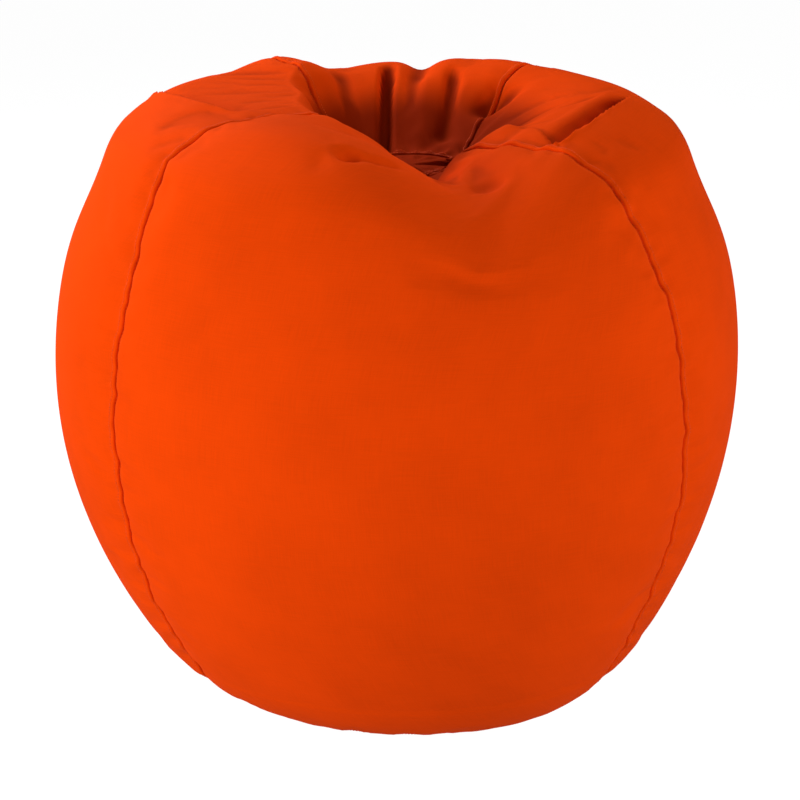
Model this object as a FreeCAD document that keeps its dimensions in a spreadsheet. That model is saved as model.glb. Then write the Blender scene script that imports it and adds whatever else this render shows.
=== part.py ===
import FreeCAD, Part

# Round bean bag chair: a sewn cotton cover, a zipped liner inside it, and the bead fill inside the liner.
#
# Millimetres, +Z up, origin on the floor under the middle of the base, front of the seat towards -Y.
#
# Every upright layer follows one profile turned about Z, five tangent arcs from the floor up:
#   heel      out from the base to the belly, tangent to the floor
#   belly     the widest part
#   shoulder  from the belly up to the highest ring
#   crest     from the highest ring over into the seat hollow
#   dish      the wall of the hollow, down to the small cap that gathers the panels
# A layer that lies a depth further in keeps the arcs' centres, takes the depth off the first four radii
# and adds it to the dish's, so that the cloth has the same thickness everywhere.

import math
import os

import Sketcher

V = FreeCAD.Vector

DIMENSIONS = {
    # the shape of the bag
    "widest_radius": 380,
    "widest_height": 385,
    "overall_height": 680,
    "heel_arc": 180,
    "belly_arc": 540,
    "shoulder_arc": 110,
    "crest_arc": 60,
    "cap_radius": 62,
    "cap_height": 609,
    # layers: cloth thicknesses, and depths of outer faces below the face of the cover
    "cover_cloth": 1.2,
    "liner_cloth": 0.8,
    "liner_depth": 1.8,
    "fill_depth": 3.0,
    # the liner and the fill stand on the cover's zip, so their flat bottoms are raised
    "liner_floor": 9.6,
    "fill_floor": 10.8,
    "channel_half_width": 28,
    "channel_length": 300,
    "channel_height": 16.8,
    # seams, in degrees each side of the front, and the base seam's angle below the heel's centre
    "front_seam_turn": 50,
    "back_seam_turn": 137,
    "base_seam_angle": 65,
    "fell_width": 11,
    "fell_thickness": 1.5,
    "fell_gap": 0.3,
    "ring_fell_angle": 3.5,
    # zips: the cover's and the liner's are the same size
    "zip_opening": 260,
    "slot_half_width": 22,
    "base_slot_cut": 14,
    "hem_inner": 9,
    "hem_outer": 25,
    "hem_length": 270,
    "cover_hem_thickness": 3.6,
    "liner_hem_thickness": 2.4,
    "tape_outer": 17,
    "tape_thickness": 0.8,
    "cover_zip_height": 5.2,
    "liner_zip_height": 13.2,
    "tooth_inner": 0.6,
    "tooth_outer": 3.4,
    "tooth_length": 2.4,
    "tooth_thickness": 3,
    "tooth_count": 60,
    "tooth_row": 236,
    "stop_length": 3,
    "stop_thickness": 3.6,
    "stop_place": 122,
    # slider, made without a pull so that a child can't open it
    "slider_length": 20,
    "slider_half_width": 6.6,
    "slider_tail_half_width": 5.4,
    "slider_height": 5.6,
    "slider_cavity_half_width": 4.4,
    "slider_cavity_height": 3.6,
    "slider_slot_height": 1.4,
    "slider_post_width": 0.8,
    "slider_post_length": 5,
    "slider_place": 110,
    "crown_length": 9,
    "crown_width": 2.4,
    "crown_height": 1.5,
    "crown_wall": 0.7,
    # care label, sewn into the base seam at the back
    "label_turn": 160,
    "label_sweep": 9,
    "label_gap": 0.3,
    "label_thickness": 0.4,
    "label_low_angle": 64.6,
    "label_high_angle": 47,
}

doc = FreeCAD.newDocument("bean_bag_chair")
sheet = doc.addObject("Spreadsheet::Sheet", "dims")
for row, (alias, value) in enumerate(DIMENSIONS.items(), start=1):
    sheet.set(f"A{row}", alias)
    sheet.set(f"B{row}", str(value))
    sheet.setAlias(f"B{row}", alias)
doc.recompute()
D = {alias: float(getattr(sheet, alias)) for alias in DIMENSIONS}

HEEL_X = (
    "dims.widest_radius - dims.belly_arc"
    " + sqrt((dims.belly_arc - dims.heel_arc)^2 - (dims.widest_height - dims.heel_arc)^2)"
)
ROOT_POINT = (-1, 1)  # a sketch's own origin, for its constraints
VERTICAL_AXIS = -2

subparts = []


# ---------------------------------------------------------------- helpers

class Depth:
    """How far a face lies below the face of the cover, as a sum of cells; outward=True is above it."""

    def __init__(self, *aliases, outward=False):
        sign = -1 if outward else 1
        self.value = sign * sum(D[alias] for alias in aliases)
        total = " + ".join(f"dims.{alias}" for alias in aliases) or "0"
        self.text = f"(0 - ({total}))" if outward else f"({total})"


def keep(label, thing, turn=0.0, height=None):
    """Name a sub-part and place it: turned about Z, raised to a height given as an expression."""
    thing.Label = label
    thing.Placement = FreeCAD.Placement(V(0, 0, 0), FreeCAD.Rotation(V(0, 0, 1), turn))
    if height:
        thing.setExpression("Placement.Base.z", height)
    subparts.append(thing)


def front_turn(degrees):
    """Turn about Z that brings a body's own +X to an angle measured from the front, right side positive."""
    return degrees - 90


def new_body(label):
    return doc.addObject("PartDesign::Body", f"{label}_body")


def new_sketch(body, name, role):
    sketch = body.newObject("Sketcher::SketchObject", f"{body.Name}_{name}")
    plane = next(item for item in body.Origin.OriginFeatures if item.Role == role)
    sketch.AttachmentSupport = (plane, "")
    sketch.MapMode = "FlatFace"
    return sketch


def bind(sketch, kind, target, expression):
    """A driving size of a sketch, taken from the sheet. It starts from where the point is drawn."""
    point = sketch.getPoint(*target)
    drawn = point.x if kind == "DistanceX" else point.y
    index = sketch.addConstraint(Sketcher.Constraint(kind, *ROOT_POINT, *target, drawn))
    sketch.setExpression(f"Constraints[{index}]", expression)


def bind_radius(sketch, arc, value, expression):
    index = sketch.addConstraint(Sketcher.Constraint("Radius", arc, value))
    sketch.setExpression(f"Constraints[{index}]", expression)


def join(sketch, first, second):
    sketch.addConstraint(Sketcher.Constraint("Coincident", *first, *second))


def polygon(sketch, corners):
    """A straight-sided outline whose corners are pairs of expressions, in order."""
    count = len(corners)
    starts = [V(math.cos(math.tau * i / count), math.sin(math.tau * i / count), 0) for i in range(count)]
    lines = [
        sketch.addGeometry(Part.LineSegment(starts[i], starts[(i + 1) % count])) for i in range(count)
    ]
    for i, (across, along) in enumerate(corners):
        join(sketch, (lines[i - 1], 2), (lines[i], 1))
        bind(sketch, "DistanceX", (lines[i], 1), across)
        bind(sketch, "DistanceY", (lines[i], 1), along)


def rectangle(sketch, left, right, low, high):
    polygon(sketch, [(left, low), (right, low), (right, high), (left, high)])


def feature(body, kind, name, sketch, **settings):
    """A PartDesign feature from a sketch; a setting that is text is an expression."""
    made = body.newObject(f"PartDesign::{kind}", f"{body.Name}_{name}")
    made.Profile = sketch
    for key, value in settings.items():
        if isinstance(value, str):
            made.setExpression(key, value)
        else:
            setattr(made, key, value)
    body.Tip = made
    return made


def revolve(body, sketch, angle):
    return feature(
        body, "Revolution", "turned", sketch, ReferenceAxis=(sketch, ["V_Axis"]), Angle=angle, Midplane=True
    )


def cut_through(body, sketch, length):
    """A pocket that goes up from the floor; it must take something away."""
    doc.recompute()
    before = body.Shape.Volume
    feature(body, "Pocket", "cut", sketch, Length=length, Reversed=True)
    doc.recompute()
    if body.Shape.Volume >= before:
        raise RuntimeError(f"{body.Name}: the pocket cuts nothing")


def block(label, x_range, y_range, z_range):
    """A plain box between pairs of expressions."""
    box = doc.addObject("Part::Box", f"{label}_box")
    for side, axis, (low, high) in zip(("Length", "Width", "Height"), "xyz", (x_range, y_range, z_range)):
        box.setExpression(side, f"({high}) - ({low})")
        box.setExpression(f"Placement.Base.{axis}", low)
    box.Label = label
    subparts.append(box)


# ---------------------------------------------------------------- the turned profile

def arc(sketch, centre, radius, start, end):
    circle = Part.Circle(V(*centre, 0), V(0, 0, 1), radius)
    return sketch.addGeometry(Part.ArcOfCircle(circle, start, end))


def heel_centre():
    """Distance of the heel's centre from the axis: the heel is tangent to the belly and to the floor."""
    rise = D["widest_height"] - D["heel_arc"]
    return D["widest_radius"] - D["belly_arc"] + math.sqrt((D["belly_arc"] - D["heel_arc"]) ** 2 - rise ** 2)


def seam_height(depth):
    """Height of the base seam on the face at a depth."""
    return f"dims.heel_arc - (dims.heel_arc - {depth.text}) * sin(dims.base_seam_angle)"


def add_profile(sketch, depth, start_height, start_guess):
    """The five arcs of the face at a depth. Returns the end on the heel and the end at the cap."""
    reach = D["widest_radius"] - D["belly_arc"]
    heel_rise = D["heel_arc"] - D["widest_height"]
    heel_run = heel_centre() - reach
    shoulder_z = D["overall_height"] - D["shoulder_arc"]
    shoulder_rise = shoulder_z - D["widest_height"]
    shoulder_run = math.sqrt((D["belly_arc"] - D["shoulder_arc"]) ** 2 - shoulder_rise ** 2)
    crest = (reach + shoulder_run, D["overall_height"] - D["crest_arc"])
    run = crest[0] - D["cap_radius"]
    drop = crest[1] - D["cap_height"]
    dish_radius = (run ** 2 + drop ** 2 - D["crest_arc"] ** 2) / (2 * (D["crest_arc"] + drop))
    dish = (D["cap_radius"], D["cap_height"] + dish_radius)

    low_turn = math.atan2(heel_rise, heel_run)
    high_turn = math.atan2(shoulder_rise, shoulder_run)
    over_turn = math.atan2(dish[1] - crest[1], dish[0] - crest[0])
    heel_start = -math.asin((D["heel_arc"] - start_guess) / (D["heel_arc"] - depth.value))
    quarter = math.pi / 2
    inset = depth.value

    heel = arc(sketch, (reach + heel_run, D["heel_arc"]), D["heel_arc"] - inset, heel_start, low_turn)
    belly = arc(sketch, (reach, D["widest_height"]), D["belly_arc"] - inset, low_turn, high_turn)
    shoulder = arc(sketch, (crest[0], shoulder_z), D["shoulder_arc"] - inset, high_turn, quarter)
    crest_arc = arc(sketch, crest, D["crest_arc"] - inset, quarter, over_turn)
    dish_arc = arc(sketch, dish, dish_radius + inset, -quarter, over_turn - math.pi)

    for first, second in ((heel, belly), (belly, shoulder), (shoulder, crest_arc)):
        sketch.addConstraint(Sketcher.Constraint("Tangent", first, 2, second, 1))
    sketch.addConstraint(Sketcher.Constraint("Tangent", crest_arc, 2, dish_arc, 2))
    for index, name in ((heel, "heel"), (belly, "belly"), (shoulder, "shoulder"), (crest_arc, "crest")):
        radius = D[f"{name}_arc"] - inset
        bind_radius(sketch, index, radius, f"dims.{name}_arc - {depth.text}")
    bind(sketch, "DistanceY", (heel, 3), "dims.heel_arc")
    bind(sketch, "DistanceX", (belly, 3), "dims.widest_radius - dims.belly_arc")
    bind(sketch, "DistanceY", (belly, 3), "dims.widest_height")
    bind(sketch, "DistanceY", (shoulder, 3), "dims.overall_height - dims.shoulder_arc")
    sketch.addConstraint(Sketcher.Constraint("Vertical", shoulder, 3, crest_arc, 3))
    bind(sketch, "DistanceX", (dish_arc, 3), "dims.cap_radius")
    bind(sketch, "DistanceX", (dish_arc, 1), "dims.cap_radius")
    bind(sketch, "DistanceY", (dish_arc, 1), f"dims.cap_height - {depth.text}")
    bind(sketch, "DistanceY", (heel, 1), start_height)
    return (heel, 1), (dish_arc, 1)


def add_line(sketch, first, second):
    """A straight edge between two ends already drawn."""
    line = sketch.addGeometry(Part.LineSegment(sketch.getPoint(*first), sketch.getPoint(*second)))
    join(sketch, (line, 1), first)
    join(sketch, (line, 2), second)


def line_to_axis(sketch, end):
    """A level edge from an end to the axis. Returns its end there."""
    point = sketch.getPoint(*end)
    line = sketch.addGeometry(Part.LineSegment(point, V(0, point.y, 0)))
    join(sketch, (line, 1), end)
    sketch.addConstraint(Sketcher.Constraint("Horizontal", line))
    sketch.addConstraint(Sketcher.Constraint("PointOnObject", line, 2, VERTICAL_AXIS))
    return (line, 2)


def seam_guess(depth):
    return D["heel_arc"] - (D["heel_arc"] - depth.value) * math.sin(math.radians(D["base_seam_angle"]))


def layer_sketch(body, outer, inner):
    """The section of one thickness of cloth from the base seam to the cap."""
    sketch = new_sketch(body, "profile", "XZ_Plane")
    outer_ends = add_profile(sketch, outer, seam_height(outer), seam_guess(outer))
    inner_ends = add_profile(sketch, inner, seam_height(inner), seam_guess(inner))
    for first, second in zip(outer_ends, inner_ends):
        add_line(sketch, first, second)
    return sketch


def heel_section(body, outer, inner, low_angle, high_angle):
    """A strip of the heel between two angles below its centre, as thick as two depths are apart.

    Each angle is a pair: its expression and its value.
    """
    sketch = new_sketch(body, "profile", "XZ_Plane")
    centre = (heel_centre(), D["heel_arc"])
    ends = []
    for depth in (outer, inner):
        radius = D["heel_arc"] - depth.value
        index = arc(sketch, centre, radius, -math.radians(low_angle[1]), -math.radians(high_angle[1]))
        bind_radius(sketch, index, radius, f"dims.heel_arc - {depth.text}")
        bind(sketch, "DistanceX", (index, 3), HEEL_X)
        bind(sketch, "DistanceY", (index, 3), "dims.heel_arc")
        for point, (angle_text, _) in ((1, low_angle), (2, high_angle)):
            height = f"dims.heel_arc - (dims.heel_arc - {depth.text}) * sin({angle_text})"
            bind(sketch, "DistanceY", (index, point), height)
        ends.append(index)
    for point in (1, 2):
        add_line(sketch, (ends[0], point), (ends[1], point))
    return sketch


# ---------------------------------------------------------------- cover and liner

FRONT = D["front_seam_turn"]
BACK = D["back_seam_turn"]
SEAMS = {
    "front_left_seam": -FRONT,
    "front_right_seam": FRONT,
    "back_right_seam": BACK,
    "back_left_seam": -BACK,
}
SIDE_SWEEP = "dims.back_seam_turn - dims.front_seam_turn"
PANELS = {
    # name: middle of the panel in degrees from the front, and its sweep
    "front_gore": (0, "2 * dims.front_seam_turn"),
    "right_gore": ((FRONT + BACK) / 2, SIDE_SWEEP),
    "back_gore": (180, "360 - 2 * dims.back_seam_turn"),
    "left_gore": (-(FRONT + BACK) / 2, SIDE_SWEEP),
}
COVER_FACE = Depth()
COVER_BACK = Depth("cover_cloth")
LINER_FACE = Depth("liner_depth")
LINER_BACK = Depth("liner_depth", "liner_cloth")
FELL_BACK = Depth("fell_gap", outward=True)
FELL_FACE = Depth("fell_gap", "fell_thickness", outward=True)


def gores(prefix, outer, inner):
    """The four upright panels of a layer."""
    for name, (middle, sweep) in PANELS.items():
        body = new_body(prefix + name)
        revolve(body, layer_sketch(body, outer, inner), sweep)
        keep(prefix + name, body, front_turn(middle))


def disc(label, depth, cloth):
    """The round cap in the middle of the hollow."""
    cap = doc.addObject("Part::Cylinder", f"{label}_disc")
    cap.setExpression("Radius", "dims.cap_radius")
    cap.setExpression("Height", f"dims.{cloth}")
    keep(label, cap, height=f"dims.cap_height - {depth.text}")


def base_half(label, faces, turn, floors=(None, None)):
    """Half of a base: flat, then up the heel to the base seam, with half of the zip's slot cut out.

    The cover's flat runs into the heel tangentially. The liner's flat faces lie at two given heights, its
    floors, and meet the heel at a corner.
    """
    body = new_body(label)
    sketch = new_sketch(body, "profile", "XZ_Plane")
    seam_turn = -math.radians(D["base_seam_angle"])
    ends = []
    for depth, floor in zip(faces, floors):
        radius = D["heel_arc"] - depth.value
        low_turn = -math.asin((D["heel_arc"] - D["liner_floor"]) / radius) if floor else -math.pi / 2
        heel = arc(sketch, (heel_centre(), D["heel_arc"]), radius, low_turn, seam_turn)
        flat_start = V(0, sketch.getPoint(heel, 1).y, 0)
        flat = sketch.addGeometry(Part.LineSegment(flat_start, sketch.getPoint(heel, 1)))
        bind_radius(sketch, heel, radius, f"dims.heel_arc - {depth.text}")
        bind(sketch, "DistanceX", (heel, 3), HEEL_X)
        bind(sketch, "DistanceY", (heel, 3), "dims.heel_arc")
        bind(sketch, "DistanceY", (heel, 2), seam_height(depth))
        sketch.addConstraint(Sketcher.Constraint("PointOnObject", flat, 1, VERTICAL_AXIS))
        if floor:
            join(sketch, (flat, 2), (heel, 1))
            sketch.addConstraint(Sketcher.Constraint("Horizontal", flat))
            bind(sketch, "DistanceY", (heel, 1), floor)
        else:
            sketch.addConstraint(Sketcher.Constraint("Tangent", flat, 2, heel, 1))
            sketch.addConstraint(Sketcher.Constraint("Horizontal", flat, 1, flat, 2))
        ends.append((flat, heel))
    (outer_flat, outer_heel), (inner_flat, inner_heel) = ends
    add_line(sketch, (outer_flat, 1), (inner_flat, 1))
    add_line(sketch, (outer_heel, 2), (inner_heel, 2))
    revolve(body, sketch, "180")

    slot = new_sketch(body, "slot", "XY_Plane")
    half = "dims.zip_opening / 2"
    rectangle(slot, "dims.slot_half_width * -1", "dims.slot_half_width", f"{half} * -1", half)
    cut_through(body, slot, "dims.base_slot_cut")
    keep(label, body, turn)


def upright_seam(label, turn):
    """The felled allowance that lies over a seam between two gores."""
    body = new_body(label)
    section = layer_sketch(body, FELL_FACE, FELL_BACK)
    feature(body, "Pad", "strip", section, Length="dims.fell_width", Midplane=True)
    keep(label, body, front_turn(turn))


def ring_seams():
    """The felled seams around the cap and around the base, folded onto the cap and onto the base."""
    cap_ring = new_body("cap_ring_seam")
    sketch = new_sketch(cap_ring, "profile", "XZ_Plane")
    inner_edge = "dims.cap_radius - dims.fell_gap - dims.fell_width"
    low = "dims.cap_height + dims.fell_gap"
    rectangle(sketch, inner_edge, "dims.cap_radius - dims.fell_gap", low, f"{low} + dims.fell_thickness")
    revolve(cap_ring, sketch, "360")
    keep("cap_ring_seam", cap_ring)

    base_ring = new_body("base_ring_seam")
    high_angle = ("dims.base_seam_angle", D["base_seam_angle"])
    low_angle = ("(dims.base_seam_angle + dims.ring_fell_angle)", high_angle[1] + D["ring_fell_angle"])
    sketch = heel_section(base_ring, FELL_FACE, FELL_BACK, low_angle, high_angle)
    revolve(base_ring, sketch, "360")
    keep("base_ring_seam", base_ring)


def care_label():
    body = new_body("care_label")
    outer = Depth("label_gap", "label_thickness", outward=True)
    low_angle = ("dims.label_low_angle", D["label_low_angle"])
    high_angle = ("dims.label_high_angle", D["label_high_angle"])
    sketch = heel_section(body, outer, Depth("label_gap", outward=True), low_angle, high_angle)
    revolve(body, sketch, "dims.label_sweep")
    keep("care_label", body, front_turn(D["label_turn"]))


def bead_fill():
    """The beads: one closed body with a level floor and a channel over the zips."""
    body = new_body("bead_fill")
    sketch = new_sketch(body, "profile", "XZ_Plane")
    low, high = add_profile(sketch, Depth("fill_depth"), "dims.fill_floor", D["fill_floor"])
    add_line(sketch, line_to_axis(sketch, low), line_to_axis(sketch, high))
    revolve(body, sketch, "360")
    channel = new_sketch(body, "channel", "XY_Plane")
    half_length = "dims.channel_length / 2"
    half_width = "dims.channel_half_width"
    rectangle(channel, f"{half_length} * -1", half_length, f"{half_width} * -1", half_width)
    cut_through(body, channel, "dims.channel_height")
    keep("bead_fill", body)


# ---------------------------------------------------------------- zips

def zip_fastener(prefix, cloth_top, hem, height):
    """Hems, tapes, teeth, stops and slider of one zip, along X, closed with the slider at the +X end."""
    half_tape = "dims.tape_thickness / 2"
    half_stop = "dims.stop_thickness / 2"
    for side, sign in (("front", -1), ("back", 1)):
        def across(inner, outer, sign=sign):
            low, high = sorted((inner, outer), key=lambda alias: sign * D[alias])
            return f"dims.{low} * {sign}", f"dims.{high} * {sign}"

        along = ("dims.hem_length / -2", "dims.hem_length / 2")
        hem_top = f"{cloth_top} + dims.{hem}"
        block(f"{prefix}zip_hem_{side}", along, across("hem_inner", "hem_outer"), (cloth_top, hem_top))
        tape_range = (f"{height} - {half_tape}", f"{height} + {half_tape}")
        block(f"{prefix}zip_tape_{side}", along, across("tooth_outer", "tape_outer"), tape_range)

        label = f"{prefix}zip_teeth_{side}"
        body = new_body(label)
        sketch = new_sketch(body, "tooth", "XY_Plane")
        start = "dims.tooth_row / -2"
        edges = (f"{start} - dims.tooth_length / 2", f"{start} + dims.tooth_length / 2")
        rectangle(sketch, *edges, *across("tooth_inner", "tooth_outer"))
        tooth = feature(body, "Pad", "tooth", sketch, Length="dims.tooth_thickness", Midplane=True)
        row_of_teeth = body.newObject("PartDesign::LinearPattern", f"{label}_row")
        row_of_teeth.Originals = [tooth]
        row_of_teeth.Direction = (sketch, ["H_Axis"])
        row_of_teeth.setExpression("Length", "dims.tooth_row")
        row_of_teeth.setExpression("Occurrences", "dims.tooth_count")
        body.Tip = row_of_teeth
        keep(label, body, height=height)

    for end, sign in (("closed", 1), ("open", -1)):
        middle = f"dims.stop_place * {sign}"
        along = (f"{middle} - dims.stop_length / 2", f"{middle} + dims.stop_length / 2")
        across_both = ("dims.tooth_outer * -1", "dims.tooth_outer")
        level = (f"{height} - {half_stop}", f"{height} + {half_stop}")
        block(f"{prefix}zip_{end}_stop", along, across_both, level)

    slider(f"{prefix}zip_slider", height)


def slider(label, height):
    """A shield-shaped slider: two plates round the teeth, a post between the rows, a crown underneath."""
    body = new_body(label)
    middle = "dims.slider_place"
    front = f"{middle} + dims.slider_length / 2"
    tail = f"{middle} - dims.slider_length / 2"
    shield = new_sketch(body, "shield", "XY_Plane")
    wide = "dims.slider_half_width"
    narrow = "dims.slider_tail_half_width"
    polygon(shield, [
        (tail, f"{narrow} * -1"), (middle, f"{wide} * -1"), (front, f"{narrow} * -1"),
        (front, narrow), (middle, wide), (tail, narrow),
    ])
    feature(body, "Pad", "shield", shield, Length="dims.slider_height", Midplane=True)
    for name, half_width, full_height in (
        ("cavity", "dims.slider_cavity_half_width", "dims.slider_cavity_height"),
        ("tape_slot", "dims.slider_half_width * 2", "dims.slider_slot_height"),
    ):
        section = new_sketch(body, name, "YZ_Plane")
        rectangle(section, f"{half_width} * -1", half_width, f"{full_height} / -2", f"{full_height} / 2")
        feature(body, "Pocket", name, section, Length="4 * dims.slider_place", Midplane=True)
    post = new_sketch(body, "post", "XY_Plane")
    half_post = "dims.slider_post_width / 2"
    rectangle(post, f"{front} - dims.slider_post_length", front, f"{half_post} * -1", half_post)
    feature(body, "Pad", "post", post, Length="dims.slider_height", Midplane=True)
    crown = new_sketch(body, "crown", "XZ_Plane")
    top = "dims.slider_height / -2"
    low = f"{top} - dims.crown_height"
    foot = "dims.crown_length / 2"
    wall = "dims.crown_wall"
    polygon(crown, [
        (f"{middle} - {foot}", top), (f"{middle} - {foot}", low),
        (f"{middle} + {foot}", low), (f"{middle} + {foot}", top),
        (f"{middle} + {foot} - {wall}", top), (f"{middle} + {foot} - {wall}", f"{low} + {wall}"),
        (f"{middle} - {foot} + {wall}", f"{low} + {wall}"), (f"{middle} - {foot} + {wall}", top),
    ])
    feature(body, "Pad", "crown", crown, Length="dims.crown_width", Midplane=True)
    keep(label, body, height=height)


# ---------------------------------------------------------------- the whole chair

gores("", COVER_FACE, COVER_BACK)
disc("top_cap", COVER_BACK, "cover_cloth")
base_half("base_panel_front_half", (COVER_FACE, COVER_BACK), front_turn(0))
base_half("base_panel_back_half", (COVER_FACE, COVER_BACK), front_turn(180))
for seam_label, seam_turn in SEAMS.items():
    upright_seam(seam_label, seam_turn)
ring_seams()
care_label()
zip_fastener("", "dims.cover_cloth", "cover_hem_thickness", "dims.cover_zip_height")

LINER_FLOORS = ("dims.liner_floor", "dims.liner_floor + dims.liner_cloth")
gores("liner_", LINER_FACE, LINER_BACK)
disc("liner_top_cap", LINER_BACK, "liner_cloth")
base_half("liner_base_front_half", (LINER_FACE, LINER_BACK), front_turn(0), LINER_FLOORS)
base_half("liner_base_back_half", (LINER_FACE, LINER_BACK), front_turn(180), LINER_FLOORS)
zip_fastener("liner_", LINER_FLOORS[1], "liner_hem_thickness", "dims.liner_zip_height")
bead_fill()

doc.recompute()
for item in doc.Objects:
    if "Invalid" in item.State or "Error" in item.State:
        raise RuntimeError(f"{item.Label}: {item.State}")
for thing in subparts:
    if thing.Shape.isNull() or not thing.Shape.isValid():
        raise RuntimeError(f"{thing.Label}: bad shape")

os.makedirs("parts", exist_ok=True)
for thing in subparts:
    thing.Shape.exportStep(f"parts/{thing.Label}.step")
print(f"{len(subparts)} sub-parts written")
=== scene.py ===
"""Bean bag chair: the sewn cover with its folds, seams and stitching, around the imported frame.

The skin follows the CAD profile at the side and a sculpted height field on top, where its folds are drawn.
A cloth simulation of the whole skin on a coarse grid then shifts each point by a few millimetres at most.
Each gore is built from its own part of the skin, and bands and stitches are laid on the gores.
Sculpting is done in millimetres: +X right, -Y front, +Z up. Turns are degrees from the front, positive to
the right.
"""
import math

import bpy
import numpy as np
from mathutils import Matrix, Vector


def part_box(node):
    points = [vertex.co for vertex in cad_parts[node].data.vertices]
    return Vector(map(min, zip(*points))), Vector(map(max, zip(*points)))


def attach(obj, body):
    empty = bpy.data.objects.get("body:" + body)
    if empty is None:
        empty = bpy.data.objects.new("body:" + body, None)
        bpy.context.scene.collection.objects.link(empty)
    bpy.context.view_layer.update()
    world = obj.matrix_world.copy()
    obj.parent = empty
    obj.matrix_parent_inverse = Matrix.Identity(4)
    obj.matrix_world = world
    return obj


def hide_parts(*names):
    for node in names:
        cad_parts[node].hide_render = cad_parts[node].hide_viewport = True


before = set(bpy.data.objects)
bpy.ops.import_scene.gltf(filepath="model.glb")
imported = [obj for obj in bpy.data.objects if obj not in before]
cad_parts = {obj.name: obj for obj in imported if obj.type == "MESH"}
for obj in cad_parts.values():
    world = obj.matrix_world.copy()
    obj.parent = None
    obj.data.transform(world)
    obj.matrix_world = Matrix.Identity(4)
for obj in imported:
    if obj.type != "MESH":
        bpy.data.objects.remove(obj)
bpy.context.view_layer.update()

MM = 0.001
TINY = 1e-6
SCENE = bpy.context.scene

# ---- sizes that come from the frame


def box_mm(node):
    low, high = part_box(node)
    return [value / MM for value in low], [value / MM for value in high]


RADIUS = -box_mm("front_gore")[0][1]
HEIGHT = box_mm("front_gore")[1][2]
CAP_HEIGHT = box_mm("top_cap")[1][2]
BASE_SEAM_HEIGHT = box_mm("base_panel_back_half")[1][2]

# The profile's arcs, as the CAD draws them.
WIDEST_HEIGHT = 385.0
HEEL_ARC = 180.0
BELLY_ARC = 540.0
SHOULDER_ARC = 110.0
BROW_TURN = 45.0  # the side ends on the shoulder where it leans this much, and the top begins

# ---- small maths


def bump(value, centre, width):
    """A round bump of height 1."""
    return np.exp(-(((value - centre) / width) ** 2))


def turn_bump(turn, centre, width):
    """A bump in turns, which wrap round."""
    return bump((turn - centre + 180) % 360 - 180, 0, width)


def step(value, start, end):
    """0 before start, 1 after end, smooth between them."""
    t = np.clip((value - start) / (end - start), 0, 1)
    return t * t * (3 - 2 * t)


def at_turn(radius, turn):
    """Plan position at a distance from the axis."""
    angle = np.radians(turn)
    return radius * np.sin(angle), -radius * np.cos(angle)


def around(turn, values):
    """A smooth closed curve through values spaced evenly round the bag, the first at the front."""
    count = len(values)
    place = (turn % 360) / 360 * count
    low = np.floor(place).astype(int)
    t = place - low
    points = [np.take(values, (low + k) % count) for k in (-1, 0, 1, 2)]
    a, b, c, d = points
    return b + 0.5 * t * (c - a + t * (2 * a - 5 * b + 4 * c - d + t * (3 * (b - c) + d - a)))


def path_distance(x, y, path):
    """Signed distance to an open path, positive on its left, and how far along it the nearest point is."""
    best = np.full(x.shape, np.inf)
    side = np.ones(x.shape)
    along = np.zeros(x.shape)
    lengths = [math.dist(path[i], path[i + 1]) for i in range(len(path) - 1)]
    before = 0.0
    for (ax, ay), (bx, by), length in zip(path, path[1:], lengths):
        dx, dy = (bx - ax) / length, (by - ay) / length
        t = np.clip((x - ax) * dx + (y - ay) * dy, 0, length)
        gap = np.hypot(x - ax - t * dx, y - ay - t * dy)
        nearer = gap < best
        best = np.where(nearer, gap, best)
        side = np.where(nearer, np.sign(dx * (y - ay) - dy * (x - ax)), side)
        along = np.where(nearer, (before + t) / sum(lengths), along)
        before += length
    return best * side, along


# ---- the side's profile


def profile_arcs():
    """Heel, belly and shoulder: centre radius, centre height, radius, start and end angle."""
    belly_x = RADIUS - BELLY_ARC
    heel_rise = HEEL_ARC - WIDEST_HEIGHT
    heel_x = belly_x + math.sqrt((BELLY_ARC - HEEL_ARC) ** 2 - heel_rise ** 2)
    shoulder_z = HEIGHT - SHOULDER_ARC
    shoulder_rise = shoulder_z - WIDEST_HEIGHT
    shoulder_x = belly_x + math.sqrt((BELLY_ARC - SHOULDER_ARC) ** 2 - shoulder_rise ** 2)
    base = -math.asin((HEEL_ARC - BASE_SEAM_HEIGHT) / HEEL_ARC)
    low = math.atan2(heel_rise, heel_x - belly_x)
    high = math.atan2(shoulder_rise, shoulder_x - belly_x)
    return (
        (heel_x, HEEL_ARC, HEEL_ARC, base, low),
        (belly_x, WIDEST_HEIGHT, BELLY_ARC, low, high),
        (shoulder_x, shoulder_z, SHOULDER_ARC, high, math.radians(BROW_TURN)),
    )


ARCS = profile_arcs()
ARC_LENGTHS = [radius * (end - start) for _, _, radius, start, end in ARCS]
SIDE_LENGTH = sum(ARC_LENGTHS)
SHOULDER_X, SHOULDER_Z = ARCS[2][:2]


def side_point(length):
    """Radius and height on the side, a length up from the base seam."""
    r = np.zeros_like(length)
    z = np.zeros_like(length)
    before = 0.0
    for (cx, cz, radius, start, _), arc_length in zip(ARCS, ARC_LENGTHS):
        inside = length >= before - TINY
        angle = start + (length - before) / radius
        r = np.where(inside, cx + radius * np.cos(angle), r)
        z = np.where(inside, cz + radius * np.sin(angle), z)
        before += arc_length
    return r, z


BROW_RADIUS = float(side_point(np.array([SIDE_LENGTH]))[0][0])

# ---- sculpting the top

CRATER = (16.0, 26.0)  # middle of the hollow's floor
RING_RADIUS = 46.0
FLOOR_HEIGHT = CAP_HEIGHT - 8.0
# distance from the hollow's middle to its edge, every 45 degrees from the front to the right
EDGE = (205, 195, 205, 205, 196, 178, 124, 158)
STEEP_TURN, STEEP_WIDTH = -95, 62  # where the wall stands steep under the left lobe


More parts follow.
